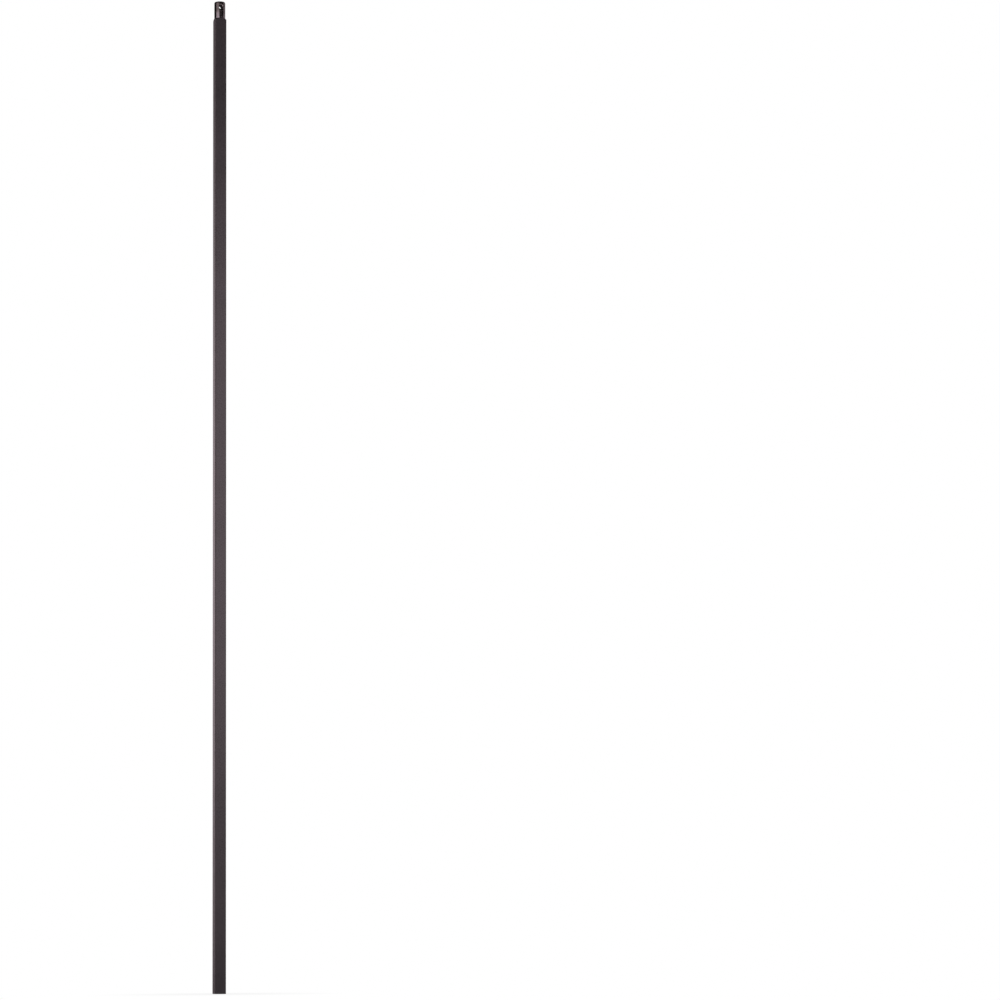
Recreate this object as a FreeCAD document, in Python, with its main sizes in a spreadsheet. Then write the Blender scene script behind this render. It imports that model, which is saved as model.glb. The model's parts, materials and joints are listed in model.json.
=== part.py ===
# Square iron stair baluster with a turned pin at its top.
# One length of solid square bar stands between the tread and the handrail. Its long corners
# are rounded as the bar was rolled, and its foot is sawn square and deburred. The top end is
# turned: a round pin enters the handrail, and the conical shoulder below it runs out into
# the four flats as shallow arches. A cross hole near the top of the pin is countersunk at
# both mouths.
# Millimetres. The origin is the centre of the foot, +Z runs up the bar to the pin, the flats
# face X and Y, and the cross hole runs along Y.

import FreeCAD
import Part
import Sketcher
import enum
import math
import os

# Every size of the piece: its name, its value and what it measures.
SIZES = (
    ("overall_length", 1117.6, "foot to the top of the pin"),
    ("bar_side", 12.7, "across the flats of the square bar"),
    ("corner_radius", 0.8, "rounding of the bar's four long corners"),
    ("foot_break", 0.4, "deburring chamfer round the sawn foot"),
    ("pin_diameter", 12.4, "turned pin, a sliding fit in a half-inch hole"),
    ("pin_length", 19.05, "top of the pin down to its shoulder"),
    ("crown_radius", 1.6, "rounding of the pin's top edge"),
    ("shoulder_angle", 45.0, "slope of the conical shoulder from the axis, degrees"),
    ("hole_diameter", 4.7625, "cross hole through the pin"),
    ("hole_drop", 6.35, "top of the pin down to the axis of the cross hole"),
    ("hole_countersink", 0.8, "depth of the countersink at the crest of each mouth"),
)

# Lengths that follow from the sizes, as expressions on the sheet.
PIN_RADIUS = "Sizes.pin_diameter / 2"
SHOULDER = "Sizes.overall_length - Sizes.pin_length"
HOLE_HEIGHT = "Sizes.overall_length - Sizes.hole_drop"
HOLE_RADIUS = "Sizes.hole_diameter / 2"
# The shoulder's cut swings well clear of the bar's corners, and its cone falls on the way out.
SWING = "max(Sizes.bar_side; Sizes.pin_diameter)"
CONE_FOOT = f"{SHOULDER} - ({SWING} - {PIN_RADIUS}) / tan(Sizes.shoulder_angle * 1 deg)"
# The countersinks are right-angled cones that carry on past the pin by their own depth.
SINK_START = f"{PIN_RADIUS} - Sizes.hole_countersink"
SINK_END = f"{PIN_RADIUS} + Sizes.hole_countersink"
SINK_RADIUS = f"{HOLE_RADIUS} + 2 * Sizes.hole_countersink"

ON_PLANE = 1e-6


class Mark(enum.IntEnum):
    """A sketch's own numbers for its axes and for the points of an edge."""

    VERTICAL_AXIS = -2
    HORIZONTAL_AXIS = -1
    START = 1
    END = 2
    CENTRE = 3


ORIGIN = (Mark.HORIZONTAL_AXIS, Mark.START)


def make_sheet(document):
    """The table of sizes: each name, its value under that name, and what it measures."""
    sheet = document.addObject("Spreadsheet::Sheet", "Sizes")
    for row, (name, value, meaning) in enumerate(SIZES, start=1):
        sheet.set(f"A{row}", name)
        sheet.set(f"B{row}", str(value))
        sheet.set(f"C{row}", meaning)
        sheet.setAlias(f"B{row}", name)
    document.recompute()


def make_sketch(body, name, role):
    """An empty sketch on one of the body's own origin planes."""
    sketch = body.newObject("Sketcher::SketchObject", name)
    plane = next(item for item in body.Origin.OriginFeatures if item.Role == role)
    sketch.AttachmentSupport = [(plane, "")]
    sketch.MapMode = "FlatFace"
    return sketch


def add_line(sketch, first, last):
    """A straight edge between two points of the sketch."""
    return sketch.addGeometry(Part.LineSegment(FreeCAD.Vector(*first), FreeCAD.Vector(*last)))


def add_arc(sketch, centre, radius, first, last):
    """An arc run anticlockwise between two angles in degrees."""
    circle = Part.Circle(FreeCAD.Vector(*centre), FreeCAD.Vector(0, 0, 1), radius)
    return sketch.addGeometry(Part.ArcOfCircle(circle, math.radians(first), math.radians(last)))


def join(sketch, first, second):
    """Two edges that meet at a corner, the end of one on the start of the other."""
    sketch.addConstraint(Sketcher.Constraint("Coincident", first, Mark.END, second, Mark.START))


def blend(sketch, first, second):
    """Two edges that run smoothly on, the end of one into the start of the other."""
    sketch.addConstraint(Sketcher.Constraint("Tangent", first, Mark.END, second, Mark.START))


def level(sketch, *lines):
    """Edges across the sketch."""
    for line in lines:
        sketch.addConstraint(Sketcher.Constraint("Horizontal", line))


def upright(sketch, *lines):
    """Edges up the sketch."""
    for line in lines:
        sketch.addConstraint(Sketcher.Constraint("Vertical", line))


def measure(sketch, name, constraint, expression):
    """A named dimension of the sketch, bound to the sheet."""
    index = sketch.addConstraint(constraint)
    sketch.renameConstraint(index, name)
    sketch.setExpression(f"Constraints.{name}", expression)


def measure_across(sketch, name, value, edge, point, expression):
    """The distance of a point across the sketch from its origin."""
    constraint = Sketcher.Constraint("DistanceX", *ORIGIN, edge, point, value)
    measure(sketch, name, constraint, expression)


def measure_up(sketch, name, value, edge, point, expression):
    """The distance of a point up the sketch from its origin."""
    constraint = Sketcher.Constraint("DistanceY", *ORIGIN, edge, point, value)
    measure(sketch, name, constraint, expression)


def draw_bar_section(body, size):
    """The bar's section: a square with rounded corners, centred on the axis."""
    sketch = make_sketch(body, "BarSection", "XY_Plane")
    radius = size["corner_radius"]
    side = size["bar_side"]
    half = side / 2
    flat = half - radius
    front = add_line(sketch, (-flat, -half), (flat, -half))
    right = add_line(sketch, (half, -flat), (half, flat))
    back = add_line(sketch, (flat, half), (-flat, half))
    left = add_line(sketch, (-half, flat), (-half, -flat))
    front_right = add_arc(sketch, (flat, -flat), radius, -90, 0)
    back_right = add_arc(sketch, (flat, flat), radius, 0, 90)
    back_left = add_arc(sketch, (-flat, flat), radius, 90, 180)
    front_left = add_arc(sketch, (-flat, -flat), radius, 180, 270)
    outline = (front, front_right, right, back_right, back, back_left, left, front_left)
    for edge, following in zip(outline, outline[1:] + outline[:1]):
        blend(sketch, edge, following)
    level(sketch, front, back)
    upright(sketch, right, left)
    for corner in (back_right, back_left, front_left):
        sketch.addConstraint(Sketcher.Constraint("Equal", front_right, corner))
    opposite = (front_right, Mark.CENTRE, back_left, Mark.CENTRE)
    sketch.addConstraint(Sketcher.Constraint("Symmetric", *opposite, *ORIGIN))
    width = Sketcher.Constraint("DistanceX", left, Mark.START, right, Mark.START, side)
    depth = Sketcher.Constraint("DistanceY", front, Mark.START, back, Mark.START, side)
    measure(sketch, "width", width, "Sizes.bar_side")
    measure(sketch, "depth", depth, "Sizes.bar_side")
    rounding = Sketcher.Constraint("Radius", front_right, radius)
    measure(sketch, "rounding", rounding, "Sizes.corner_radius")
    return sketch


def draw_shoulder(body, size):
    """What turning takes off the bar's corners to leave the conical shoulder."""
    sketch = make_sketch(body, "ShoulderCut", "XZ_Plane")
    radius = size["pin_diameter"] / 2
    shoulder = size["overall_length"] - size["pin_length"]
    swing = max(size["bar_side"], size["pin_diameter"])
    cone_foot = shoulder - (swing - radius) / math.tan(math.radians(size["shoulder_angle"]))
    cone = add_line(sketch, (radius, shoulder), (swing, cone_foot))
    outside = add_line(sketch, (swing, cone_foot), (swing, size["overall_length"]))
    above = add_line(sketch, (swing, size["overall_length"]), (radius, size["overall_length"]))
    inside = add_line(sketch, (radius, size["overall_length"]), (radius, shoulder))
    outline = (cone, outside, above, inside)
    for edge, following in zip(outline, outline[1:] + outline[:1]):
        join(sketch, edge, following)
    upright(sketch, outside, inside)
    level(sketch, above)
    measure_across(sketch, "pin_radius", radius, cone, Mark.START, PIN_RADIUS)
    measure_up(sketch, "shoulder", shoulder, cone, Mark.START, SHOULDER)
    measure_across(sketch, "swing", swing, cone, Mark.END, SWING)
    measure_up(sketch, "cone_foot", cone_foot, cone, Mark.END, CONE_FOOT)
    measure_up(sketch, "top", size["overall_length"], above, Mark.START, "Sizes.overall_length")
    return sketch


def draw_pin(body, size):
    """Half of the pin through its axis, with its rounded crown."""
    sketch = make_sketch(body, "PinProfile", "XZ_Plane")
    radius = size["pin_diameter"] / 2
    crown = size["crown_radius"]
    top = size["overall_length"]
    shoulder = top - size["pin_length"]
    base = add_line(sketch, (0, shoulder), (radius, shoulder))
    wall = add_line(sketch, (radius, shoulder), (radius, top - crown))
    rounding = add_arc(sketch, (radius - crown, top - crown), crown, 0, 90)
    end_face = add_line(sketch, (radius - crown, top), (0, top))
    axis = add_line(sketch, (0, top), (0, shoulder))
    join(sketch, base, wall)
    blend(sketch, wall, rounding)
    blend(sketch, rounding, end_face)
    join(sketch, end_face, axis)
    join(sketch, axis, base)
    level(sketch, base, end_face)
    upright(sketch, wall, axis)
    sketch.addConstraint(Sketcher.Constraint("PointOnObject", base, Mark.START, Mark.VERTICAL_AXIS))
    measure_across(sketch, "pin_radius", radius, wall, Mark.START, PIN_RADIUS)
    measure_up(sketch, "shoulder", shoulder, base, Mark.START, SHOULDER)
    measure_up(sketch, "top", top, axis, Mark.START, "Sizes.overall_length")
    crown_size = Sketcher.Constraint("Radius", rounding, crown)
    measure(sketch, "crown", crown_size, "Sizes.crown_radius")
    return sketch


def draw_cross_hole(body, size):
    """Half of the cross hole through its own axis, with the countersink at each mouth."""
    sketch = make_sketch(body, "CrossHoleProfile", "YZ_Plane")
    height = size["overall_length"] - size["hole_drop"]
    wall = height + size["hole_diameter"] / 2
    sink = size["hole_countersink"]
    start = size["pin_diameter"] / 2 - sink
    end = size["pin_diameter"] / 2 + sink
    rim = wall + 2 * sink
    axis = add_line(sketch, (-end, height), (end, height))
    back_end = add_line(sketch, (end, height), (end, rim))
    back_sink = add_line(sketch, (end, rim), (start, wall))
    drilled = add_line(sketch, (start, wall), (-start, wall))
    front_sink = add_line(sketch, (-start, wall), (-end, rim))
    front_end = add_line(sketch, (-end, rim), (-end, height))
    outline = (axis, back_end, back_sink, drilled, front_sink, front_end)
    for edge, following in zip(outline, outline[1:] + outline[:1]):
        join(sketch, edge, following)
    upright(sketch, back_end, front_end)
    for edge in (axis, drilled):
        mirrored = (edge, Mark.START, edge, Mark.END, Mark.VERTICAL_AXIS)
        sketch.addConstraint(Sketcher.Constraint("Symmetric", *mirrored))
    measure_up(sketch, "hole_height", height, axis, Mark.END, HOLE_HEIGHT)
    measure_across(sketch, "sink_end", end, axis, Mark.END, SINK_END)
    measure_across(sketch, "sink_start", start, drilled, Mark.START, SINK_START)
    wall_height = Sketcher.Constraint("DistanceY", axis, Mark.END, drilled, Mark.START, wall - height)
    measure(sketch, "hole_radius", wall_height, HOLE_RADIUS)
    back_rim = Sketcher.Constraint("DistanceY", axis, Mark.END, back_end, Mark.END, rim - height)
    measure(sketch, "back_rim", back_rim, SINK_RADIUS)
    front_rim = Sketcher.Constraint("DistanceY", axis, Mark.START, front_sink, Mark.END, rim - height)
    measure(sketch, "front_rim", front_rim, SINK_RADIUS)
    return sketch


def foot_edges(shape):
    """The names of the edges that lie in the plane of the foot."""
    names = []
    for number, edge in enumerate(shape.Edges, start=1):
        if abs(edge.BoundBox.ZMin) < ON_PLANE and abs(edge.BoundBox.ZMax) < ON_PLANE:
            names.append(f"Edge{number}")
    return names


def make_baluster(document):
    """The whole baluster, made in the order of the workshop: bar, sawn foot, turned end, hole."""
    size = {name: value for name, value, _ in SIZES}
    body = document.addObject("PartDesign::Body", "Baluster")
    body.Label = "baluster"

    bar = body.newObject("PartDesign::Pad", "Bar")
    bar.Profile = draw_bar_section(body, size)
    bar.setExpression("Length", SHOULDER)
    document.recompute()

    foot = body.newObject("PartDesign::Chamfer", "FootBreak")
    foot.Base = (bar, foot_edges(bar.Shape))
    foot.setExpression("Size", "Sizes.foot_break")
    document.recompute()

    shoulder = body.newObject("PartDesign::Groove", "Shoulder")
    shoulder.Profile = draw_shoulder(body, size)
    shoulder.ReferenceAxis = (shoulder.Profile[0], ["V_Axis"])
    shoulder.Angle = 360
    document.recompute()

    pin = body.newObject("PartDesign::Revolution", "Pin")
    pin.Profile = draw_pin(body, size)
    pin.ReferenceAxis = (pin.Profile[0], ["V_Axis"])
    pin.Angle = 360
    document.recompute()

    hole = body.newObject("PartDesign::Groove", "CrossHole")
    hole.Profile = draw_cross_hole(body, size)
    hole.ReferenceAxis = (hole.Profile[0], ["Edge1"])
    hole.Angle = 360
    document.recompute()

    for cut, before in ((foot, bar), (shoulder, foot), (hole, pin)):
        if cut.Shape.Volume >= before.Shape.Volume:
            raise RuntimeError(f"{cut.Name} took nothing off")
    return body


def check(document):
    """Stop if any object of the document failed or has no sound shape."""
    for item in document.Objects:
        if "Invalid" in item.State or "Error" in item.State:
            raise RuntimeError(f"{item.Name} failed: {item.State}")
        if item.isDerivedFrom("PartDesign::Feature") or item.isDerivedFrom("PartDesign::Body"):
            if item.Shape.isNull() or not item.Shape.isValid():
                raise RuntimeError(f"{item.Name} has no sound shape")


document = FreeCAD.newDocument("Baluster")
make_sheet(document)
baluster = make_baluster(document)
check(document)
if len(baluster.Shape.Solids) != 1:
    raise RuntimeError("the baluster is not one solid")
os.makedirs("parts", exist_ok=True)
baluster.Shape.exportStep(f"parts/{baluster.Label}.step")
print(f"{baluster.Label}: {baluster.Shape.Volume:.1f} mm3, {len(baluster.Shape.Faces)} faces")
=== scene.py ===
"""A straight square iron baluster for a stair, with a round turned pin at its top, in a white studio."""

import json
import math

import bpy
from mathutils import Matrix, Vector


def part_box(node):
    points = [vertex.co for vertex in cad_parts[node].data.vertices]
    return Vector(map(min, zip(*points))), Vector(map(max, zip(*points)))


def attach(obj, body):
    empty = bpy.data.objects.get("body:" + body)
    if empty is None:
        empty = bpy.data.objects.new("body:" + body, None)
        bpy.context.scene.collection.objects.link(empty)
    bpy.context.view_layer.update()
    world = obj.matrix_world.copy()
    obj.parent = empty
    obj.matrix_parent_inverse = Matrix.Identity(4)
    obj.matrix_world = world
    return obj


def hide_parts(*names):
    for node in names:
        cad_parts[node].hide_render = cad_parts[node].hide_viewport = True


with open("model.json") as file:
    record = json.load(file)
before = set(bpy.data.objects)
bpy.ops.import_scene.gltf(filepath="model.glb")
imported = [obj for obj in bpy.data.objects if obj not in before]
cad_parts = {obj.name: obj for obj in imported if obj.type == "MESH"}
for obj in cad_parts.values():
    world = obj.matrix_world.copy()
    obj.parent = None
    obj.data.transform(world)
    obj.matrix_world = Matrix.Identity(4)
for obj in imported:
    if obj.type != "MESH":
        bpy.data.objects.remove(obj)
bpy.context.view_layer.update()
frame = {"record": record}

bl_info = {
    "name": "Iron Stair Baluster",
    "version": (1, 0, 0),
    "blender": (4, 5, 0),
    "location": "3D View > Sidebar > Baluster",
    "description": "Makes a square iron baluster with a turned pin, and the studio that it stands in",
    "category": "Add Mesh",
}

BODY = "root"
NODE = "baluster"
MM = 0.001
WHITE = (1.0, 1.0, 1.0, 1.0)
WHITE_LEVEL = 1.0

# The sockets of a Mix node by number, because its kinds of data share their names
MIX_SHARE = 0
MIX_FLOAT_A = 2
MIX_FLOAT_B = 3
MIX_COLOUR_A = 6
MIX_COLOUR_B = 7
MIXED_COLOUR = 2

# The sizes that the frame gives
LOWEST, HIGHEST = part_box(NODE)
MOUNTS = {mount["name"]: mount for mount in frame["record"]["mounts"]}
PIN = MOUNTS["top_pin"]
HOLE = MOUNTS["cross_hole"]
BAR_SIDE = HIGHEST.x - LOWEST.x
OVERALL_LENGTH = HIGHEST.z - LOWEST.z
PIN_RADIUS = PIN["dims"]["r_mm"] * MM
PIN_WALL = PIN["dims"]["length_mm"] * MM
SHOULDER_HEIGHT = PIN["pos_m"][2] - PIN_WALL / 2
CROWN_RADIUS = OVERALL_LENGTH - SHOULDER_HEIGHT - PIN_WALL
HOLE_RADIUS = HOLE["dims"]["r_mm"] * MM
HOLE_HEIGHT = HOLE["pos_m"][2]
COUNTERSINK = PIN_RADIUS - HOLE["dims"]["length_mm"] * MM / 2

# How finely the mesh is divided: columns round the section, rows along each stretch, and the drill
CORNER_STEPS = 12
COLUMNS = 248
FOOT_ROWS = 1
BAR_ROWS = 40
SHOULDER_ROWS = 44
PIN_ROWS = 44
CROWN_ROWS = 14
DRILL_RINGS = 4
HOLE_SIDES = 96
MERGE_DISTANCE = 0.005 * MM
SHARP_ANGLE = math.radians(28)

# The close rows of the shoulder start this far below the foot of its cone
SHOULDER_MARGIN = 0.15 * MM

# The shoulder's arches blend into the flats within this share of the distance from the axis
ARCH_SOFTNESS = 0.01

# The map for baking: the bar's skin is cut into lengths, with a gap between all pieces, and the pieces
# of the two ends are drawn larger than the bar
SKIN_MAP = "OFBake"
SKIN_LENGTHS = 5
SKIN_GAP = 1.5 * MM
SKIN_END_SCALE = 2.0

# A face lies square to a way when its normal's share along that way is more than this
SQUARE_ON = 0.9

# The powder coat's clouds: their length, and the stretch of the noise over which the colour changes
CLOUD_LENGTH = 30 * MM
CLOUD_LOW = 0.35
CLOUD_HIGH = 0.65

# The coat's nibs of dust: their spacing, and the distances from a nib's middle between which it fades
NIB_SPACING = 5.5 * MM
NIB_CORE = 0.066 * MM
NIB_EDGE = 0.176 * MM

# The coat's orange peel and the grain of its matting agent
PEEL_WAVE = 2.2 * MM
PEEL_DEPTH = 0.05 * MM
PEEL_STRENGTH = 0.25
GRAIN_SIZE = 0.5 * MM
GRAIN_DEPTH = 0.015 * MM
GRAIN_STRENGTH = 0.2
GRAIN_LOW = 0.25
GRAIN_HIGH = 0.75
COAT_ROUGHNESS_SPREAD = 0.03
POLYESTER_IOR = 1.5

# The turned steel's rings, and its smears of oil, drawn fading out down to the shoulder as painted shade, so
# the pin is darker towards its top
RING_SPACING = 0.5 * MM
RING_DEPTH = 0.02 * MM
RING_STRENGTH = 0.3
SMEAR_SIZE = 5 * MM
SHADE_FADE = 7 * MM
SMEAR_LOW = 0.25
SMEAR_HIGH = 0.6
DULLING_LOW = 0.3
DULLING_HIGH = 0.7
STEEL_SMOOTHER = 0.04
STEEL_ROUGHER = 0.06

# The scores that the drill left in the bore
SCORE_SPACING = 0.2 * MM
SCORE_DEPTH = 0.02 * MM
SCORE_STRENGTH = 0.4
SCORE_LOW = 0.3
SCORE_HIGH = 0.7
BORE_SMOOTHEST = 0.65
BORE_ROUGHEST = 0.8
BORE_IOR = 1.5

# Where the photograph has the baluster, in its own pixels
PHOTO_SIDE = 1000
PHOTO_TOP = (219.8, 2.3)
PHOTO_FOOT = (219.2, 994.0)
SENSOR_WIDTH = 36.0

# The floor: its radius, how far it lies under the foot, and the corners of its rim
FLOOR_RADIUS = 12.0
FLOOR_DROP = 0.1 * MM
FLOOR_CORNERS = 96

# How white the floor is drawn at the foot, and the distances between which that grows to plain white
FOOT_WHITENESS = 0.77
SHADOW_CORE = 0.02
SHADOW_REACH = 0.16

# The floor's light as gloss sees it grows with the root of the distance from the foot
FLOOR_DIM_ROOT = 0.35
FLOOR_FULL_ROOT = 2.0
FLOOR_DIM = 0.2

# That light is weaker behind the bar than in front of it, and changes over within this distance of the bar
FLOOR_BEHIND = 0.3
FLOOR_AHEAD = 1.4
FLOOR_CHANGEOVER = 0.3

# The backdrop as gloss sees it: the turn from the viewer to the middle of its bright side, the cosines of
# the turns from that middle between which it falls dark, and the level that is left there
BRIGHT_TURN = math.radians(147.75)
BRIGHT_COSINE = 0.51
DARK_COSINE = 0.379
DARK_LEVEL = 0.02

# The backdrop's bright band, in heights of a way that is one long: the height of its middle, and the
# distances from there between which its light falls off, then the levels in the band and away from it
BAND_HEIGHT = 0.097
BAND_CORE = 0.01
BAND_REACH = 0.12
BAND_LEVEL = 1.4
PLAIN_LEVEL = 0.26

# The light that matt surfaces get from all round
AIR_LEVEL = 0.8

# The lamps: name, turn from the viewer round the bar, distance from the bar, height, width and tallness
SIDE_LAMP = ("Tall side lamp", math.radians(-42.0), 1.2, 0.75, 1.55, 1.5)
FRONT_LAMP = ("Front lamp", math.radians(26.0), 1.73, 0.765, 0.465, 0.83)


def linear(code):
    """A colour given as sRGB hex, as the linear red, green and blue that Blender works in."""
    parts = [int(code[i : i + 2], 16) / 255 for i in (1, 3, 5)]
    return tuple(p / 12.92 if p <= 0.04045 else ((p + 0.055) / 1.055) ** 2.4 for p in parts)


def opaque(rgb):
    return (*rgb, 1.0)


def add_node(tree, kind, inputs=(), **settings):
    """Adds a node. An input takes a value, a socket, or a node for its first output."""
    node = tree.nodes.new(kind)
    for name, value in settings.items():
        setattr(node, name, value)
    given = inputs.items() if isinstance(inputs, dict) else enumerate(inputs)
    for key, value in given:
        source = value.outputs[0] if isinstance(value, bpy.types.Node) else value
        if isinstance(source, bpy.types.NodeSocket):
            tree.links.new(source, node.inputs[key])
        else:
            node.inputs[key].default_value = source
    return node


def empty_tree(owner):
    """The node tree of a new material or world, with nothing in it."""
    owner.use_nodes = True
    owner.node_tree.nodes.clear()
    return owner.node_tree


def length(name, description, default):
    return bpy.props.FloatProperty(
        name=name, description=description, default=default, min=0.0, precision=5,
        unit="LENGTH", subtype="DISTANCE",
    )


def angle(name, description, degrees):
    return bpy.props.FloatProperty(
        name=name, description=description, default=math.radians(degrees), unit="ROTATION", subtype="ANGLE"
    )


def share(name, description, default):
    return bpy.props.FloatProperty(
        name=name, description=description, default=default, min=0.0, max=1.0, subtype="FACTOR"
    )


def power(name, description, default):
    return bpy.props.FloatProperty(
        name=name, description=description, default=default, min=0.0, unit="POWER"
    )


def colour(name, description, code):
    return bpy.props.FloatVectorProperty(
        name=name, description=description, default=linear(code), size=3, min=0.0, max=1.0, subtype="COLOR"
    )


class BalusterSizes(bpy.types.PropertyGroup):
    """The sizes of the iron itself."""

    bar_side: length("Bar side", "Width of the square bar across its flats", BAR_SIDE)
    corner_radius: length("Corner radius", "Rounding of the bar's four long corners", 0.8 * MM)
    overall_length: length("Overall length", "From the sawn foot to the top of the pin", OVERALL_LENGTH)
    foot_break: length("Foot break", "Bevel filed round the sawn foot", 0.4 * MM)
    shoulder_height: length("Shoulder height", "Where the pin starts, above the foot", SHOULDER_HEIGHT)
    shoulder_angle: angle("Shoulder angle", "Slope of the turned cone, off the bar's axis", 45.0)
    pin_radius: length("Pin radius", "Radius of the turned pin", PIN_RADIUS)
    crown_radius: length("Crown radius", "Rounding at the top of the pin", CROWN_RADIUS)
    hole_radius: length("Hole radius", "Radius of the hole across the pin", HOLE_RADIUS)
    hole_height: length("Hole height", "Height of the hole's axis above the foot", HOLE_HEIGHT)
    countersink: length("Countersink", "Bevel at both mouths of the hole", COUNTERSINK)


class BalusterFinish(bpy.types.PropertyGroup):
    """The colours and the gloss of the three surfaces."""

    coat_colour: colour("Coat", "Colour of the powder coat", "#292829")
    coat_cloud: colour("Coat, clouded", "Colour of the coat where it lies a little paler", "#2e2c2e")
    nib_colour: colour("Dust nibs", "Colour of the few specks of dust baked into the coat", "#77716c")
    coat_roughness: share("Coat roughness", "How much the satin coat scatters what it reflects", 0.28)
    steel_colour: colour("Turned steel", "Colour of the bare steel of the pin", "#a2a1a3")
    # The oil's colour also carries painted shade: it fades out down to the shoulder, so the pin's top is
    # darker
    steel_oil_and_shade: colour("Oil film", "Colour of the steel where dried oil darkens it", "#716e6a")
    steel_roughness: share("Steel roughness", "How much the turned steel scatters what it reflects", 0.21)
    # The bore's two colours are near black as painted shade inside the hole, with the scores a little paler
    bore_painted_shade: colour("Drilled bore", "Colour of the burnt oil on the hole's wall", "#100e0d")
    bore_scores_in_shade: colour("Drilled bore, scored", "Colour of the wall where the drill scored it", "#2b2724")


class BalusterStudio(bpy.types.PropertyGroup):
    """The camera, the lamps and the floor."""

    camera_depth: length("Camera depth", "From the camera to the baluster, along the floor", 4.5)
    camera_height: length("Camera height", "Height of the camera above the floor", 0.06)
    camera_turn: angle("Camera turn", "How far the camera stands to the left of the bar's front", 13.0)
    floor_colour: colour("Floor", "Colour of the paper, which reads white in the studio's light", "#e2f7ef")
    light_colour: colour("Light", "Colour of the studio's light, as the baluster shows it", "#ffe9f1")
    key_power: power("Side lamp", "Power of the tall soft lamp at the left", 7.7)
    front_power: power("Front lamp", "Power of the soft lamp in front, above the bar's middle", 2.96)


def bar_section(tree, given):
    """The square section with its rounded corners."""
    square = add_node(
        tree, "GeometryNodeCurvePrimitiveQuadrilateral",
        {"Width": given["Bar side"], "Height": given["Bar side"]},
    )
    rounded = add_node(
        tree, "GeometryNodeFilletCurve",
        {"Curve": square, "Radius": given["Corner radius"], "Count": CORNER_STEPS}, mode="POLY",
    )
    return add_node(tree, "GeometryNodeResampleCurve", {"Curve": rounded, "Count": COLUMNS})


def bar_axis(tree, given, pin_top):
    """The axis, whose rows lie close together where the shape changes."""
    bar_rise = add_node(
        tree, "ShaderNodeMath", [given["Shoulder foot"], given["Foot break"]], operation="SUBTRACT"
    )
    cone_rise = add_node(
        tree, "ShaderNodeMath", [given["Shoulder height"], given["Shoulder foot"]], operation="SUBTRACT"
    )
    pin_rise = add_node(tree, "ShaderNodeMath", [pin_top, given["Shoulder height"]], operation="SUBTRACT")
    row = add_node(tree, "GeometryNodeInputIndex")
    first = 0
    height = 0.0
    for rows, rise in (
        (FOOT_ROWS, given["Foot break"]),
        (BAR_ROWS, bar_rise),
        (SHOULDER_ROWS, cone_rise),
        (PIN_ROWS, pin_rise),
    ):
        climb = add_node(
            tree, "ShaderNodeMapRange",
            {"Value": row, "From Min": first, "From Max": first + rows, "To Min": 0.0, "To Max": rise},
        )
        height = add_node(tree, "ShaderNodeMath", [climb, height], operation="ADD")
        first += rows
    turn = add_node(
        tree, "ShaderNodeMapRange",
        {
            "Value": row, "From Min": first, "From Max": first + CROWN_ROWS,
            "To Min": 0.0, "To Max": math.pi / 2,
        },
    )
    sine = add_node(tree, "ShaderNodeMath", [turn], operation="SINE")
    height = add_node(
        tree, "ShaderNodeMath", [sine, given["Crown radius"], height], operation="MULTIPLY_ADD"
    )
    line = add_node(
        tree, "GeometryNodeCurvePrimitiveLine", {"Start": (0.0, 0.0, 0.0), "End": (0.0, 0.0, 1.0)}
    )
    points = first + CROWN_ROWS + 1
    divided = add_node(tree, "GeometryNodeResampleCurve", {"Curve": line, "Count": points})
    place = add_node(tree, "ShaderNodeCombineXYZ", {"Z": height})
    return add_node(tree, "GeometryNodeSetPosition", {"Geometry": divided, "Position": place})


def cut_by_lathe(tree, given, pin_top, flat, z):
    """The share of its distance from the axis that each point of the square bar keeps."""
    reach = add_node(tree, "ShaderNodeVectorMath", [flat], operation="LENGTH").outputs["Value"]
    below = add_node(tree, "ShaderNodeMath", [given["Shoulder height"], z], operation="SUBTRACT")
    cone_drop = add_node(tree, "ShaderNodeMath", [below, 0.0], operation="MAXIMUM")
    cone = add_node(
        tree, "ShaderNodeMath", [cone_drop, given["Shoulder spread"], given["Pin radius"]],
        operation="MULTIPLY_ADD",
    )
    above = add_node(tree, "ShaderNodeMath", [z, pin_top], operation="SUBTRACT")
    climb = add_node(tree, "ShaderNodeMath", [above, 0.0], operation="MAXIMUM")
    climbed = add_node(tree, "ShaderNodeMath", [climb, 2.0], operation="POWER")
    radius_squared = add_node(tree, "ShaderNodeMath", [given["Crown radius"], 2.0], operation="POWER")
    rest = add_node(tree, "ShaderNodeMath", [radius_squared, climbed], operation="SUBTRACT")
    level = add_node(tree, "ShaderNodeMath", [rest, 0.0], operation="MAXIMUM")
    across = add_node(tree, "ShaderNodeMath", [level], operation="SQRT")
    rounding = add_node(tree, "ShaderNodeMath", [given["Crown radius"], across], operation="SUBTRACT")
    turned = add_node(tree, "ShaderNodeMath", [cone, rounding], operation="SUBTRACT")
    ratio = add_node(tree, "ShaderNodeMath", [turned, reach], operation="DIVIDE")
    return add_node(tree, "ShaderNodeMath", [ratio, 1.0, given["Arch softness"]], operation="SMOOTH_MIN")


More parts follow.
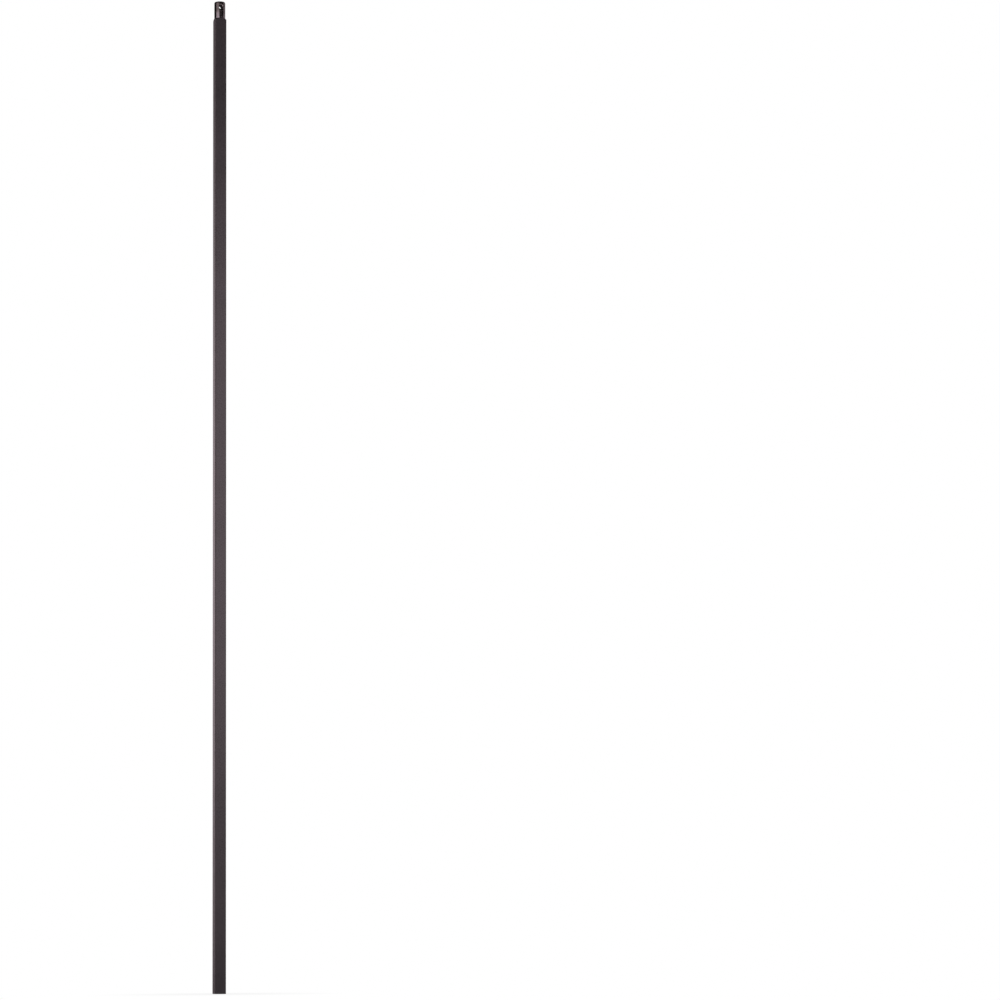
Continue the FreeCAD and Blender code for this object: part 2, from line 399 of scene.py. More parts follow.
def filed_inward(tree, given, flat, z):
    """The way that each point of the foot's rim moves when its bevel is filed, square to the rim."""
    half = add_node(tree, "ShaderNodeMath", [given["Bar side"], 0.5], operation="MULTIPLY")
    straight = add_node(tree, "ShaderNodeMath", [half, given["Corner radius"]], operation="SUBTRACT")
    limit = add_node(tree, "ShaderNodeCombineXYZ", [straight, straight])
    other_limit = add_node(tree, "ShaderNodeVectorMath", {0: limit, "Scale": -1.0}, operation="SCALE")
    held = add_node(tree, "ShaderNodeVectorMath", [flat, limit], operation="MINIMUM")
    core = add_node(tree, "ShaderNodeVectorMath", [held, other_limit], operation="MAXIMUM")
    from_core = add_node(tree, "ShaderNodeVectorMath", [flat, core], operation="SUBTRACT")
    outward = add_node(tree, "ShaderNodeVectorMath", [from_core], operation="NORMALIZE")
    bevel = add_node(tree, "ShaderNodeMath", [z, given["Foot break"]], operation="SUBTRACT")
    inward = add_node(tree, "ShaderNodeMath", [bevel, 0.0], operation="MINIMUM")
    return add_node(tree, "ShaderNodeVectorMath", {0: outward, "Scale": inward}, operation="SCALE")


def countersunk_drill(tree, given):
    """What the drill takes out: rings on a line across the pin, of which the outer two are wider."""
    index = add_node(tree, "GeometryNodeInputIndex")
    ring = add_node(tree, "ShaderNodeMath", [index, (DRILL_RINGS - 1) / 2], operation="SUBTRACT")
    off_middle = add_node(tree, "ShaderNodeMath", [ring], operation="ABSOLUTE")
    outer = add_node(tree, "FunctionNodeCompare", [off_middle, 1.0], operation="GREATER_THAN")
    pin_and_sink = [given["Pin radius"], given["Countersink"]]
    past_pin = add_node(tree, "ShaderNodeMath", pin_and_sink, operation="ADD")
    wall_end = add_node(tree, "ShaderNodeMath", pin_and_sink, operation="SUBTRACT")
    mouth = add_node(
        tree, "ShaderNodeMath", [given["Countersink"], 2.0, given["Hole radius"]], operation="MULTIPLY_ADD"
    )
    reach = add_node(
        tree, "GeometryNodeSwitch", {"Switch": outer, "False": wall_end, "True": past_pin},
        input_type="FLOAT",
    )
    radius = add_node(
        tree, "GeometryNodeSwitch", {"Switch": outer, "False": given["Hole radius"], "True": mouth},
        input_type="FLOAT",
    )
    side = add_node(tree, "ShaderNodeMath", [ring], operation="SIGN")
    along = add_node(tree, "ShaderNodeMath", [side, reach], operation="MULTIPLY")
    line = add_node(
        tree, "GeometryNodeCurvePrimitiveLine", {"Start": (0.0, -1.0, 0.0), "End": (0.0, 1.0, 0.0)}
    )
    divided = add_node(tree, "GeometryNodeResampleCurve", {"Curve": line, "Count": DRILL_RINGS})
    place = add_node(tree, "ShaderNodeCombineXYZ", {"Y": along, "Z": given["Hole height"]})
    axis = add_node(tree, "GeometryNodeSetPosition", {"Geometry": divided, "Position": place})
    circle = add_node(tree, "GeometryNodeCurvePrimitiveCircle", {"Resolution": HOLE_SIDES, "Radius": 1.0})
    return add_node(
        tree, "GeometryNodeCurveToMesh",
        {"Curve": axis, "Profile Curve": circle, "Scale": radius, "Fill Caps": True},
    )


def parted_at_edges(tree, solid):
    """The solid with smooth faces that part at its true edges."""
    clean = add_node(tree, "GeometryNodeMergeByDistance", {"Geometry": solid, "Distance": MERGE_DISTANCE})
    smooth = add_node(
        tree, "GeometryNodeSetShadeSmooth", {"Geometry": clean, "Shade Smooth": True}, domain="FACE"
    )
    fold = add_node(tree, "GeometryNodeInputMeshEdgeAngle")
    edge = add_node(tree, "FunctionNodeCompare", [fold, SHARP_ANGLE], operation="GREATER_THAN")
    return add_node(
        tree, "GeometryNodeSetShadeSmooth", {"Geometry": smooth, "Selection": edge, "Shade Smooth": False},
        domain="EDGE",
    )


def turned_bar_tree():
    """A square bar whose section follows its axis, with its end cut by a lathe and crossed by a drill."""
    tree = bpy.data.node_groups.new("Turned square bar", "GeometryNodeTree")
    for name in (
        "Bar side", "Corner radius", "Overall length", "Foot break", "Shoulder height", "Shoulder spread",
        "Shoulder foot", "Arch softness", "Pin radius", "Crown radius", "Hole radius", "Hole height",
        "Countersink",
    ):
        tree.interface.new_socket(name, in_out="INPUT", socket_type="NodeSocketFloat")
    for name in ("Coat", "Bare steel", "Drilled bore"):
        tree.interface.new_socket(name, in_out="INPUT", socket_type="NodeSocketMaterial")
    tree.interface.new_socket("Geometry", in_out="OUTPUT", socket_type="NodeSocketGeometry")
    given = add_node(tree, "NodeGroupInput").outputs

    # The square bar
    pin_top = add_node(
        tree, "ShaderNodeMath", [given["Overall length"], given["Crown radius"]], operation="SUBTRACT"
    )
    axis = bar_axis(tree, given, pin_top)
    section = bar_section(tree, given)
    bar = add_node(
        tree, "GeometryNodeCurveToMesh", {"Curve": axis, "Profile Curve": section, "Fill Caps": True}
    )

    # The lathe's cut, and the bevel filed round the foot
    place = add_node(tree, "ShaderNodeSeparateXYZ", [add_node(tree, "GeometryNodeInputPosition")])
    x, y, z = (place.outputs[name] for name in "XYZ")
    flat = add_node(tree, "ShaderNodeCombineXYZ", [x, y])
    kept = cut_by_lathe(tree, given, pin_top, flat, z)
    turned_flat = add_node(tree, "ShaderNodeVectorMath", {0: flat, "Scale": kept}, operation="SCALE")
    moved = add_node(
        tree, "ShaderNodeVectorMath", [turned_flat, filed_inward(tree, given, flat, z)], operation="ADD"
    )
    upright = add_node(tree, "ShaderNodeCombineXYZ", {"Z": z})
    new_place = add_node(tree, "ShaderNodeVectorMath", [moved, upright], operation="ADD")
    shaped = add_node(tree, "GeometryNodeSetPosition", {"Geometry": bar, "Position": new_place})

    # The hole
    drilled = add_node(
        tree, "GeometryNodeMeshBoolean", {"Mesh 1": shaped, "Mesh 2": countersunk_drill(tree, given)},
        operation="DIFFERENCE", solver="EXACT",
    )

    # The finishes: the coat, bare steel above the shoulder, and the wall of the hole, drawn near black as
    # painted shade
    whole = add_node(tree, "GeometryNodeRealizeInstances", {"Geometry": parted_at_edges(tree, drilled)})
    coated = add_node(tree, "GeometryNodeSetMaterial", {"Geometry": whole, "Material": given["Coat"]})
    bare = add_node(tree, "FunctionNodeCompare", [z, given["Shoulder height"]], operation="GREATER_THAN")
    turned = add_node(
        tree, "GeometryNodeSetMaterial",
        {"Geometry": coated, "Selection": bare, "Material": given["Bare steel"]},
    )
    rise = add_node(tree, "ShaderNodeMath", [z, given["Hole height"]], operation="SUBTRACT")
    off_drill = add_node(tree, "ShaderNodeCombineXYZ", {"X": x, "Z": rise})
    from_drill = add_node(tree, "ShaderNodeVectorMath", [off_drill], operation="LENGTH").outputs["Value"]
    wall = add_node(
        tree, "FunctionNodeCompare", {"A": from_drill, "B": given["Hole radius"]}, operation="LESS_EQUAL"
    )
    finished = add_node(
        tree, "GeometryNodeSetMaterial",
        {"Geometry": turned, "Selection": wall, "Material": given["Drilled bore"]},
    )
    add_node(tree, "NodeGroupOutput", {"Geometry": finished})
    return tree


def powder_coat(finish):
    """Polyester powder, sprayed dry on the bar and baked to a satin black skin.

    It gives the eye an even charcoal with a soft sheen, a faint orange peel, and a few specks of dust.
    """
    material = bpy.data.materials.new("Satin black powder coat, baked")
    tree = empty_tree(material)
    place = add_node(tree, "ShaderNodeTexCoord").outputs["Object"]

    # Clouds where the powder lay thicker
    cloud = add_node(
        tree, "ShaderNodeTexNoise", {"Vector": place, "Scale": 1 / CLOUD_LENGTH, "Detail": 3.0}
    )
    cloud_share = add_node(
        tree, "ShaderNodeMapRange",
        {"Value": cloud.outputs["Fac"], "From Min": CLOUD_LOW, "From Max": CLOUD_HIGH},
    )
    skin = add_node(
        tree, "ShaderNodeMix",
        {
            MIX_SHARE: cloud_share,
            MIX_COLOUR_A: opaque(finish.coat_colour),
            MIX_COLOUR_B: opaque(finish.coat_cloud),
        },
        data_type="RGBA",
    )

    # Nibs of dust about a quarter of a millimetre across, one or two in every ten square centimetres
    nib = add_node(
        tree, "ShaderNodeTexVoronoi", {"Vector": place, "Scale": 1 / NIB_SPACING, "Randomness": 1.0}
    )
    nib_share = add_node(
        tree, "ShaderNodeMapRange",
        {
            "Value": nib.outputs["Distance"],
            "From Min": NIB_CORE / NIB_SPACING, "From Max": NIB_EDGE / NIB_SPACING,
            "To Min": 1.0, "To Max": 0.0,
        },
    )
    dusted = add_node(
        tree, "ShaderNodeMix",
        {
            MIX_SHARE: nib_share,
            MIX_COLOUR_A: skin.outputs[MIXED_COLOUR],
            MIX_COLOUR_B: opaque(finish.nib_colour),
        },
        data_type="RGBA",
    )

    # Orange peel, and the matting agent's grain, drawn coarse because the real one is too fine to show
    peel = add_node(tree, "ShaderNodeTexNoise", {"Vector": place, "Scale": 1 / PEEL_WAVE, "Detail": 1.0})
    grain = add_node(tree, "ShaderNodeTexNoise", {"Vector": place, "Scale": 1 / GRAIN_SIZE, "Detail": 1.0})
    peel_bump = add_node(
        tree, "ShaderNodeBump",
        {"Strength": PEEL_STRENGTH, "Distance": PEEL_DEPTH, "Height": peel.outputs["Fac"]},
    )
    skin_bump = add_node(
        tree, "ShaderNodeBump",
        {
            "Strength": GRAIN_STRENGTH, "Distance": GRAIN_DEPTH, "Height": grain.outputs["Fac"],
            "Normal": peel_bump,
        },
    )
    roughness = add_node(
        tree, "ShaderNodeMapRange",
        {
            "Value": grain.outputs["Fac"], "From Min": GRAIN_LOW, "From Max": GRAIN_HIGH,
            "To Min": finish.coat_roughness - COAT_ROUGHNESS_SPREAD,
            "To Max": finish.coat_roughness + COAT_ROUGHNESS_SPREAD,
        },
    )
    shader = add_node(
        tree, "ShaderNodeBsdfPrincipled",
        {
            "Base Color": dusted.outputs[MIXED_COLOUR], "Roughness": roughness, "IOR": POLYESTER_IOR,
            "Normal": skin_bump,
        },
    )
    add_node(tree, "ShaderNodeOutputMaterial", {"Surface": shader})
    return material


def turned_steel(finish, sizes):
    """Mild steel, turned on a lathe and left bare under a wipe of oil.

    It gives the eye a dull mirror, striped by its surroundings and crossed by the tool's fine rings.
    Its oil fades out down to the shoulder, painted shade that leaves the pin darker towards its top.
    """
    material = bpy.data.materials.new("Mild steel, turned and oiled")
    tree = empty_tree(material)
    place = add_node(tree, "ShaderNodeTexCoord").outputs["Object"]
    height = add_node(tree, "ShaderNodeSeparateXYZ", [place]).outputs["Z"]

    # The tool's rings, drawn further apart than its feed of some 0.15 mm a turn, which is too fine to show
    ring = add_node(
        tree, "ShaderNodeTexNoise", {"W": height, "Scale": 1 / RING_SPACING, "Detail": 2.0},
        noise_dimensions="1D",
    )
    ring_bump = add_node(
        tree, "ShaderNodeBump",
        {"Strength": RING_STRENGTH, "Distance": RING_DEPTH, "Height": ring.outputs["Fac"]},
    )

    # Smears of dried oil; their fade down to the shoulder is painted shade, which leaves the pin darker
    # towards its top than at its root
    film = add_node(tree, "ShaderNodeTexNoise", {"Vector": place, "Scale": 1 / SMEAR_SIZE, "Detail": 3.0})
    smear = add_node(
        tree, "ShaderNodeMapRange",
        {"Value": film.outputs["Fac"], "From Min": SMEAR_LOW, "From Max": SMEAR_HIGH},
    )
    shade_towards_top = add_node(
        tree, "ShaderNodeMapRange",
        {
            "Value": height,
            "From Min": sizes.shoulder_height, "From Max": sizes.shoulder_height + SHADE_FADE,
        },
        interpolation_type="SMOOTHSTEP",
    )
    oil_and_shade_share = add_node(tree, "ShaderNodeMath", [smear, shade_towards_top], operation="MULTIPLY")
    skin = add_node(
        tree, "ShaderNodeMix",
        {
            MIX_SHARE: oil_and_shade_share,
            MIX_COLOUR_A: opaque(finish.steel_colour),
            MIX_COLOUR_B: opaque(finish.steel_oil_and_shade),
        },
        data_type="RGBA",
    )
    roughness = add_node(
        tree, "ShaderNodeMapRange",
        {
            "Value": film.outputs["Fac"], "From Min": DULLING_LOW, "From Max": DULLING_HIGH,
            "To Min": finish.steel_roughness - STEEL_SMOOTHER,
            "To Max": finish.steel_roughness + STEEL_ROUGHER,
        },
    )
    shader = add_node(
        tree, "ShaderNodeBsdfPrincipled",
        {
            "Base Color": skin.outputs[MIXED_COLOUR], "Metallic": 1.0, "Roughness": roughness,
            "Normal": ring_bump,
        },
    )
    add_node(tree, "ShaderNodeOutputMaterial", {"Surface": shader})
    return material


def drilled_steel(finish):
    """Mild steel where the drill went through, scored round, and drawn near black as painted shade inside
    the hole.

    It gives the eye a nearly black bore, so that the light at its far end stands out.
    """
    material = bpy.data.materials.new("Mild steel, drilled and oil-blackened")
    tree = empty_tree(material)
    place = add_node(tree, "ShaderNodeTexCoord").outputs["Object"]
    depth = add_node(tree, "ShaderNodeSeparateXYZ", [place]).outputs["Y"]

    # The drill's scores, one after another along the bore
    score = add_node(
        tree, "ShaderNodeTexNoise", {"W": depth, "Scale": 1 / SCORE_SPACING, "Detail": 2.0},
        noise_dimensions="1D",
    )
    # The bore is drawn near black as painted shade, with the scores a little paler
    shade_and_scores = add_node(
        tree, "ShaderNodeMix",
        {
            MIX_SHARE: score.outputs["Fac"],
            MIX_COLOUR_A: opaque(finish.bore_painted_shade),
            MIX_COLOUR_B: opaque(finish.bore_scores_in_shade),
        },
        data_type="RGBA",
    )
    bump = add_node(
        tree, "ShaderNodeBump",
        {"Strength": SCORE_STRENGTH, "Distance": SCORE_DEPTH, "Height": score.outputs["Fac"]},
    )
    roughness = add_node(
        tree, "ShaderNodeMapRange",
        {
            "Value": score.outputs["Fac"], "From Min": SCORE_LOW, "From Max": SCORE_HIGH,
            "To Min": BORE_SMOOTHEST, "To Max": BORE_ROUGHEST,
        },
    )
    shader = add_node(
        tree, "ShaderNodeBsdfPrincipled",
        {
            "Base Color": shade_and_scores.outputs[MIXED_COLOUR], "Roughness": roughness, "IOR": BORE_IOR,
            "Normal": bump,
        },
    )
    add_node(tree, "ShaderNodeOutputMaterial", {"Surface": shader})
    return material


def shoulder_foot(sizes):
    """The height at which the close rows of the shoulder start, just below the cone's lowest points."""
    corner_reach = (sizes.bar_side / 2 - sizes.corner_radius) * math.sqrt(2) + sizes.corner_radius
    drop = (corner_reach - sizes.pin_radius) / math.tan(sizes.shoulder_angle)
    return sizes.shoulder_height - drop - SHOULDER_MARGIN


def drop_empty_slots(mesh):
    """Takes out the slots with no material that a cut between meshes leaves."""
    for index in reversed(range(len(mesh.materials))):
        if mesh.materials[index] is None:
            mesh.materials.pop(index=index)


def turn_near(turn, near):
    """The turn that points the same way as the first one and lies nearest to the second."""
    return near + math.remainder(turn - near, math.tau)


def skin_piece(face, sizes):
    """The piece of the flat skin that a face is on: a length of the bar, by number, or a piece of an end."""
    middle = face.center
    radial = Vector((middle.x, middle.y, 0.0)).normalized()
    if middle.z < sizes.shoulder_height:
        if face.normal.z < -SQUARE_ON:
            return "foot"
        climb = (middle.z - sizes.foot_break) / (shoulder_foot(sizes) - sizes.foot_break)
        return min(max(int(climb * SKIN_LENGTHS), 0), SKIN_LENGTHS - 1)
    if middle.z > sizes.overall_length - sizes.crown_radius:
        return "crown"
    if math.hypot(middle.x, middle.z - sizes.hole_height) <= sizes.hole_radius:
        return "bore"
    if face.normal.dot(radial) > SQUARE_ON:
        return "pin"
    return "front mouth" if middle.y < 0.0 else "back mouth"


def skin_middles(sizes):
    """The middle of each piece of the flat skin: the bar's lengths side by side, the ends' pieces above."""
    girth = 4 * sizes.bar_side
    rise = (shoulder_foot(sizes) - sizes.foot_break) / SKIN_LENGTHS
    middles = {}
    for number in range(SKIN_LENGTHS):
        across = SKIN_GAP + girth / 2 + number * (girth + SKIN_GAP)
        middles[number] = (across, SKIN_GAP - sizes.foot_break - number * rise)
    pin_wall = sizes.overall_length - sizes.crown_radius - sizes.shoulder_height
    tallest_length = sizes.shoulder_height - shoulder_foot(sizes) + rise
    row = SKIN_GAP + tallest_length + SKIN_GAP + SKIN_END_SCALE * pin_wall / 2
    mouth = sizes.hole_radius + 2 * sizes.countersink
    reach = SKIN_GAP
    for piece, width in (
        ("pin", math.tau * sizes.pin_radius),
        ("crown", 2 * (sizes.pin_radius + sizes.crown_radius)),
        ("bore", math.tau * sizes.hole_radius),
        ("front mouth", 2 * mouth),
        ("back mouth", 2 * mouth),
        ("foot", sizes.bar_side),
    ):
        middles[piece] = (reach + SKIN_END_SCALE * width / 2, row)
        reach += SKIN_END_SCALE * width + SKIN_GAP
    return middles


def skin_point(piece, point, middle, sizes):
    """Where a point lies on its piece of the flat skin, from the piece's own middle."""
    turn = turn_near(math.atan2(point.y, point.x), math.atan2(middle.y, middle.x))
    rise = point.z - sizes.hole_height
    if piece == "foot":
        return -point.x, point.y
    if piece == "pin":
        pin_middle = (sizes.shoulder_height + sizes.overall_length - sizes.crown_radius) / 2
        return turn * sizes.pin_radius, point.z - pin_middle
    if piece == "crown":
        reach = math.hypot(point.x, point.y) + sizes.overall_length - point.z
        return reach * math.cos(turn), reach * math.sin(turn)
    if piece == "bore":
        roll = turn_near(math.atan2(rise, point.x), math.atan2(middle.z - sizes.hole_height, middle.x))
        return roll * sizes.hole_radius, point.y
    if piece == "front mouth":
        return point.x, rise
    if piece == "back mouth":
        return -point.x, rise
    quarter = round(turn / (math.pi / 2))
    across = quarter + math.tan(turn - quarter * math.pi / 2) / 2
    return across * sizes.bar_side, point.z


def lay_skin_flat(mesh, sizes):
    """Gives the mesh its map for baking: the whole skin on one square, with no piece over another."""
    middles = skin_middles(sizes)
    square = SKIN_GAP + SKIN_LENGTHS * (4 * sizes.bar_side + SKIN_GAP)
    places = []
    for face in mesh.polygons:
        piece = skin_piece(face, sizes)
        scale = SKIN_END_SCALE if isinstance(piece, str) else 1.0
        for index in face.vertices:
            flat = skin_point(piece, mesh.vertices[index].co, face.center, sizes)
            places.extend((start + scale * step) / square for start, step in zip(middles[piece], flat))
    mesh.uv_layers.new(name=SKIN_MAP).uv.foreach_set("vector", places)


class MESH_OT_iron_baluster_add(bpy.types.Operator):
    """Make the baluster from its sizes and give it its three finishes"""

    bl_idname = "mesh.iron_baluster_add"
    bl_label = "Make Baluster"

    def execute(self, context):
        sizes = context.scene.baluster_sizes
        finish = context.scene.baluster_finish
        values = {
            "Bar side": sizes.bar_side,
            "Corner radius": sizes.corner_radius,
            "Overall length": sizes.overall_length,
            "Foot break": sizes.foot_break,
            "Shoulder height": sizes.shoulder_height,
            "Shoulder spread": math.tan(sizes.shoulder_angle),
            "Shoulder foot": shoulder_foot(sizes),
            "Arch softness": ARCH_SOFTNESS,
            "Pin radius": sizes.pin_radius,
            "Crown radius": sizes.crown_radius,
            "Hole radius": sizes.hole_radius,
            "Hole height": sizes.hole_height,
            "Countersink": sizes.countersink,
            "Coat": powder_coat(finish),
            "Bare steel": turned_steel(finish, sizes),
            "Drilled bore": drilled_steel(finish),
        }
        tree = turned_bar_tree()
        piece = bpy.data.objects.new("iron_baluster", bpy.data.meshes.new("iron_baluster"))
        context.scene.collection.objects.link(piece)
        modifier = piece.modifiers.new("Turned square bar", "NODES")
        modifier.node_group = tree
        for socket in tree.interface.items_tree:
            if socket.in_out == "INPUT":
                modifier[socket.identifier] = values[socket.name]
        depsgraph = context.evaluated_depsgraph_get()
        mesh = bpy.data.meshes.new_from_object(piece.evaluated_get(depsgraph), depsgraph=depsgraph)
        if not mesh.polygons:
            raise RuntimeError("the bar's tree made no faces")
        piece.modifiers.remove(modifier)
        piece.data = mesh
        drop_empty_slots(mesh)
        lay_skin_flat(mesh, sizes)
        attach(piece, BODY)
        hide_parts(NODE)
        return {"FINISHED"}


def level_way(heading):
    """The level way at a heading, which is 0 straight out from the bar's front and grows to the right."""
    return (math.sin(heading), -math.cos(heading), 0.0)


def backdrop_share(tree, path):
    """1 for the rays that see the background: the camera's, and those that gloss and glass send on."""
    seen = add_node(tree, "ShaderNodeMath", [path["Is Camera Ray"], path["Is Glossy Ray"]], operation="ADD")
    return add_node(
        tree, "ShaderNodeMath", [seen, path["Is Transmission Ray"]], operation="ADD", use_clamp=True
    )


def seen_colour(tree, path, studio):
    """White for the camera, and the colour of the studio's light for gloss."""
    return add_node(
        tree, "ShaderNodeMix",
        {
            MIX_SHARE: path["Is Glossy Ray"],
            MIX_COLOUR_A: WHITE,
            MIX_COLOUR_B: opaque(studio.light_colour),
        },
        data_type="RGBA",
    ).outputs[MIXED_COLOUR]


def seen_level(tree, path, lit):
    """White for the camera, and the given light for gloss."""
    return add_node(
        tree, "ShaderNodeMix",
        {MIX_SHARE: path["Is Glossy Ray"], MIX_FLOAT_A: WHITE_LEVEL, MIX_FLOAT_B: lit},
    )


def paper_floor(studio):
    """Matt paper: it takes the baluster's shadow near the foot and is drawn plain white further off.

    Gloss sees it dim near the foot, and weaker behind the bar than in front of it.
    """
    material = bpy.data.materials.new("White paper, matt")
    tree = empty_tree(material)
    path = add_node(tree, "ShaderNodeLightPath").outputs
    place = add_node(tree, "ShaderNodeTexCoord").outputs["Object"]
    away = add_node(tree, "ShaderNodeVectorMath", [place], operation="LENGTH").outputs["Value"]
    whitening = add_node(
        tree, "ShaderNodeMapRange",
        {
            "Value": away, "From Min": SHADOW_CORE, "From Max": SHADOW_REACH,
            "To Min": FOOT_WHITENESS, "To Max": 1.0,
        },
        interpolation_type="SMOOTHSTEP",
    )
    white = add_node(tree, "ShaderNodeMath", [whitening, backdrop_share(tree, path)], operation="MULTIPLY")
    root = add_node(tree, "ShaderNodeMath", [away], operation="SQRT")
    lit = add_node(
        tree, "ShaderNodeMapRange",
        {
            "Value": root, "From Min": FLOOR_DIM_ROOT, "From Max": FLOOR_FULL_ROOT,
            "To Min": FLOOR_DIM, "To Max": 1.0,
        },
    )
    front_way = level_way(-studio.camera_turn)
    ahead = add_node(tree, "ShaderNodeVectorMath", [place, front_way], operation="DOT_PRODUCT")
    toward = add_node(
        tree, "ShaderNodeMapRange",
        {
            "Value": ahead.outputs["Value"], "From Min": -FLOOR_CHANGEOVER, "From Max": FLOOR_CHANGEOVER,
            "To Min": FLOOR_BEHIND, "To Max": FLOOR_AHEAD,
        },
    )
    shown = add_node(tree, "ShaderNodeMath", [lit, toward], operation="MULTIPLY")
    paper = add_node(tree, "ShaderNodeBsdfDiffuse", {"Color": opaque(studio.floor_colour)})
    glow = add_node(
        tree, "ShaderNodeEmission",
        {"Color": seen_colour(tree, path, studio), "Strength": seen_level(tree, path, shown)},
    )
    shader = add_node(tree, "ShaderNodeMixShader", [white, paper, glow])
    add_node(tree, "ShaderNodeOutputMaterial", {"Surface": shader})
    return material


def studio_world(studio):
    """A white backdrop. Gloss sees it brightest in a band a little above level, and dark on one side."""
    world = bpy.data.worlds.new("White studio")
    tree = empty_tree(world)
    path = add_node(tree, "ShaderNodeLightPath").outputs
    way = add_node(tree, "ShaderNodeTexCoord").outputs["Generated"]
    bright_way = level_way(BRIGHT_TURN - studio.camera_turn)
    facing = add_node(tree, "ShaderNodeVectorMath", [way, bright_way], operation="DOT_PRODUCT")
    side = add_node(
        tree, "ShaderNodeMapRange",
        {
            "Value": facing.outputs["Value"], "From Min": DARK_COSINE, "From Max": BRIGHT_COSINE,
            "To Min": DARK_LEVEL, "To Max": 1.0,
        },
        interpolation_type="SMOOTHSTEP",
    )
    height = add_node(tree, "ShaderNodeSeparateXYZ", [way]).outputs["Z"]
    over = add_node(tree, "ShaderNodeMath", [height, BAND_HEIGHT], operation="SUBTRACT")
    off_band = add_node(tree, "ShaderNodeMath", [over], operation="ABSOLUTE")
    band = add_node(
        tree, "ShaderNodeMapRange",
        {
            "Value": off_band, "From Min": BAND_CORE, "From Max": BAND_REACH,
            "To Min": BAND_LEVEL, "To Max": PLAIN_LEVEL,
        },
        interpolation_type="SMOOTHSTEP",
    )
    lit = add_node(tree, "ShaderNodeMath", [side, band], operation="MULTIPLY")
    backdrop = add_node(
        tree, "ShaderNodeBackground",
        {"Color": seen_colour(tree, path, studio), "Strength": seen_level(tree, path, lit)},
    )
    air = add_node(
        tree, "ShaderNodeBackground", {"Color": opaque(studio.light_colour), "Strength": AIR_LEVEL}
    )
    shader = add_node(tree, "ShaderNodeMixShader", [backdrop_share(tree, path), air, backdrop])
    add_node(tree, "ShaderNodeOutputWorld", {"Surface": shader})
    return world


def from_photo_middle(pixel):
    """A pixel of the photograph as steps to the right and up from the photograph's middle."""
    return Vector((pixel[0] - PHOTO_SIDE / 2, PHOTO_SIDE / 2 - pixel[1]))


def photo_way(pixel, focal):
    """The way from the camera to a pixel of the photograph, in the camera's own axes."""
    return Vector((*from_photo_middle(pixel), -focal)).normalized()


def photo_focal(angle_between):
    """The focal length, in pixels, at which the photograph's two ends of the baluster lie this angle apart.

    The cosine of that angle gives an equation of the second degree for the square of the focal length.
    """
    top = from_photo_middle(PHOTO_TOP)
    foot = from_photo_middle(PHOTO_FOOT)
    cosine_squared = math.cos(angle_between) ** 2
    square_term = 1.0 - cosine_squared
    plain_term = 2.0 * top.dot(foot) - cosine_squared * (top.length_squared + foot.length_squared)
    constant_term = top.dot(foot) ** 2 - cosine_squared * top.length_squared * foot.length_squared
    root = math.sqrt(plain_term * plain_term - 4.0 * square_term * constant_term)
    return math.sqrt((root - plain_term) / (2.0 * square_term))


def square_axes(first, second):
    """Three axes at right angles: the first way, one in the plane of both ways, and that plane's normal."""
    normal = first.cross(second).normalized()
    return Matrix((first, normal.cross(first), normal)).transposed()


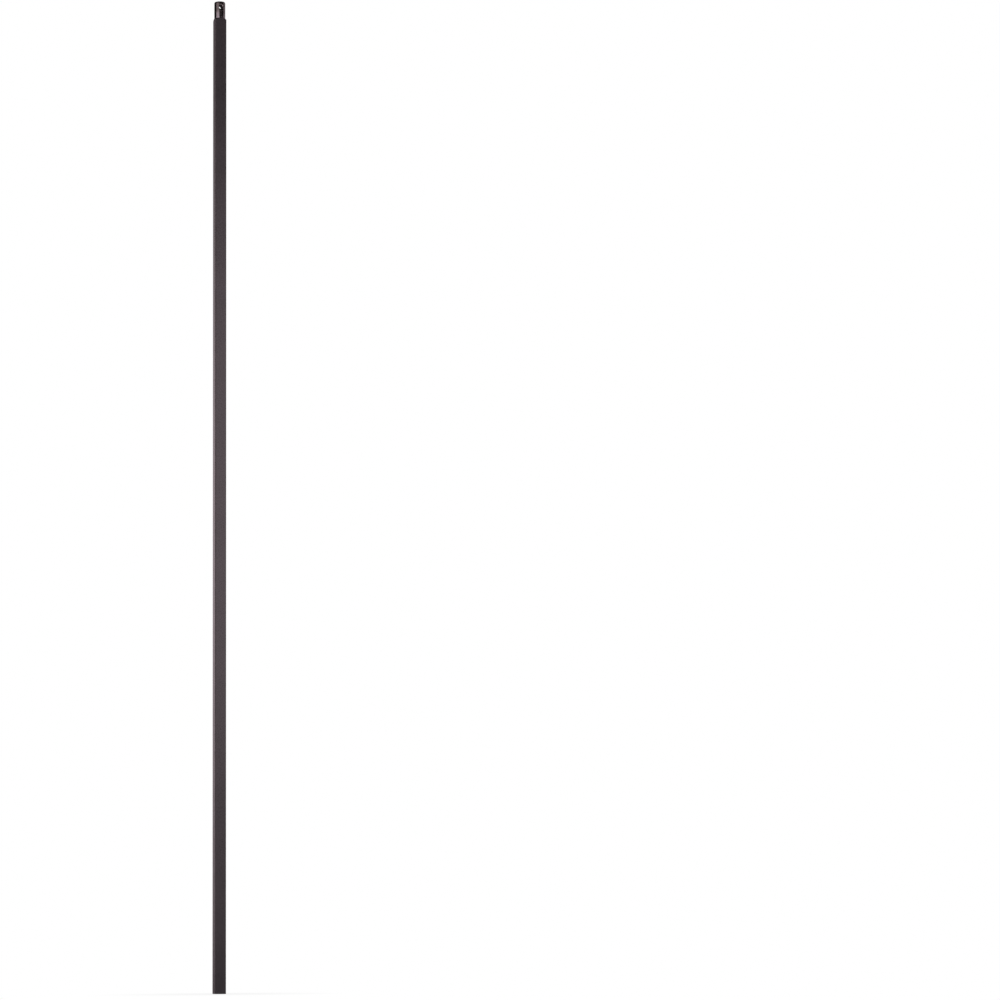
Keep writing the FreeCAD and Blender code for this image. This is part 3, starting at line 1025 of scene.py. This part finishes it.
class SCENE_OT_baluster_studio_set(bpy.types.Operator):
    """Lay the floor, hang the lamps and set the camera as in the photograph"""

    bl_idname = "scene.baluster_studio_set"
    bl_label = "Set Studio"

    def execute(self, context):
        scene = context.scene
        studio = scene.baluster_studio
        sizes = scene.baluster_sizes

        # The camera's lens and aim, which put the two ends of the baluster where the photograph has them
        stand = Vector(level_way(-studio.camera_turn)) * studio.camera_depth
        stand.z = studio.camera_height
        to_top = (Vector((0.0, 0.0, sizes.overall_length)) - stand).normalized()
        to_foot = -stand.normalized()
        focal = photo_focal(to_top.angle(to_foot))
        lens = bpy.data.cameras.new("Studio camera")
        lens.sensor_width = SENSOR_WIDTH
        lens.lens = SENSOR_WIDTH * focal / PHOTO_SIDE
        camera = bpy.data.objects.new("Studio camera", lens)
        camera.location = stand
        seen = square_axes(photo_way(PHOTO_TOP, focal), photo_way(PHOTO_FOOT, focal))
        camera.rotation_euler = (square_axes(to_top, to_foot) @ seen.transposed()).to_euler()
        scene.collection.objects.link(camera)
        scene.camera = camera

        # The floor
        turns = [math.tau * corner / FLOOR_CORNERS for corner in range(FLOOR_CORNERS)]
        rim = [
            (FLOOR_RADIUS * math.cos(turn), FLOOR_RADIUS * math.sin(turn), -FLOOR_DROP) for turn in turns
        ]
        paper = bpy.data.meshes.new("Paper floor")
        paper.from_pydata(rim, [], [range(len(rim))])
        paper.materials.append(paper_floor(studio))
        floor = bpy.data.objects.new("Paper floor", paper)
        scene.collection.objects.link(floor)

        # The lamps, which face the bar's axis at their own height and stay out of the camera's sight
        for lamp_sizes, watts in ((SIDE_LAMP, studio.key_power), (FRONT_LAMP, studio.front_power)):
            name, turn, distance, height, width, tallness = lamp_sizes
            right, back, _ = level_way(turn - studio.camera_turn)
            lamp = bpy.data.lights.new(name, "AREA")
            lamp.shape = "RECTANGLE"
            lamp.size = width
            lamp.size_y = tallness
            lamp.energy = watts
            lamp.color = studio.light_colour
            holder = bpy.data.objects.new(name, lamp)
            holder.location = (distance * right, distance * back, height)
            aim = Vector((0.0, 0.0, height)) - holder.location
            holder.rotation_euler = aim.to_track_quat("-Z", "Y").to_euler()
            holder.visible_camera = False
            scene.collection.objects.link(holder)

        scene.world = studio_world(studio)
        scene.view_settings.view_transform = "Standard"
        return {"FINISHED"}


class VIEW3D_PT_iron_baluster(bpy.types.Panel):
    """The baluster's sizes, finishes and studio, with the steps that make them"""

    bl_label = "Iron Baluster"
    bl_space_type = "VIEW_3D"
    bl_region_type = "UI"
    bl_category = "Baluster"

    def draw(self, context):
        scene = context.scene
        for group, step in (
            (scene.baluster_sizes, None),
            (scene.baluster_finish, MESH_OT_iron_baluster_add.bl_idname),
            (scene.baluster_studio, SCENE_OT_baluster_studio_set.bl_idname),
        ):
            box = self.layout.box()
            for name in group.bl_rna.properties.keys():
                if name not in bpy.types.PropertyGroup.bl_rna.properties:
                    box.prop(group, name)
            if step:
                box.operator(step)


CLASSES = (
    BalusterSizes,
    BalusterFinish,
    BalusterStudio,
    MESH_OT_iron_baluster_add,
    SCENE_OT_baluster_studio_set,
    VIEW3D_PT_iron_baluster,
)
GROUPS = {
    "baluster_sizes": BalusterSizes,
    "baluster_finish": BalusterFinish,
    "baluster_studio": BalusterStudio,
}


def register():
    for cls in CLASSES:
        bpy.utils.register_class(cls)
    for name, group in GROUPS.items():
        setattr(bpy.types.Scene, name, bpy.props.PointerProperty(type=group))


def unregister():
    for name in GROUPS:
        delattr(bpy.types.Scene, name)
    for cls in reversed(CLASSES):
        bpy.utils.unregister_class(cls)


def main():
    register()
    bpy.ops.mesh.iron_baluster_add()
    bpy.ops.scene.baluster_studio_set()


if __name__ == "__main__":
    main()
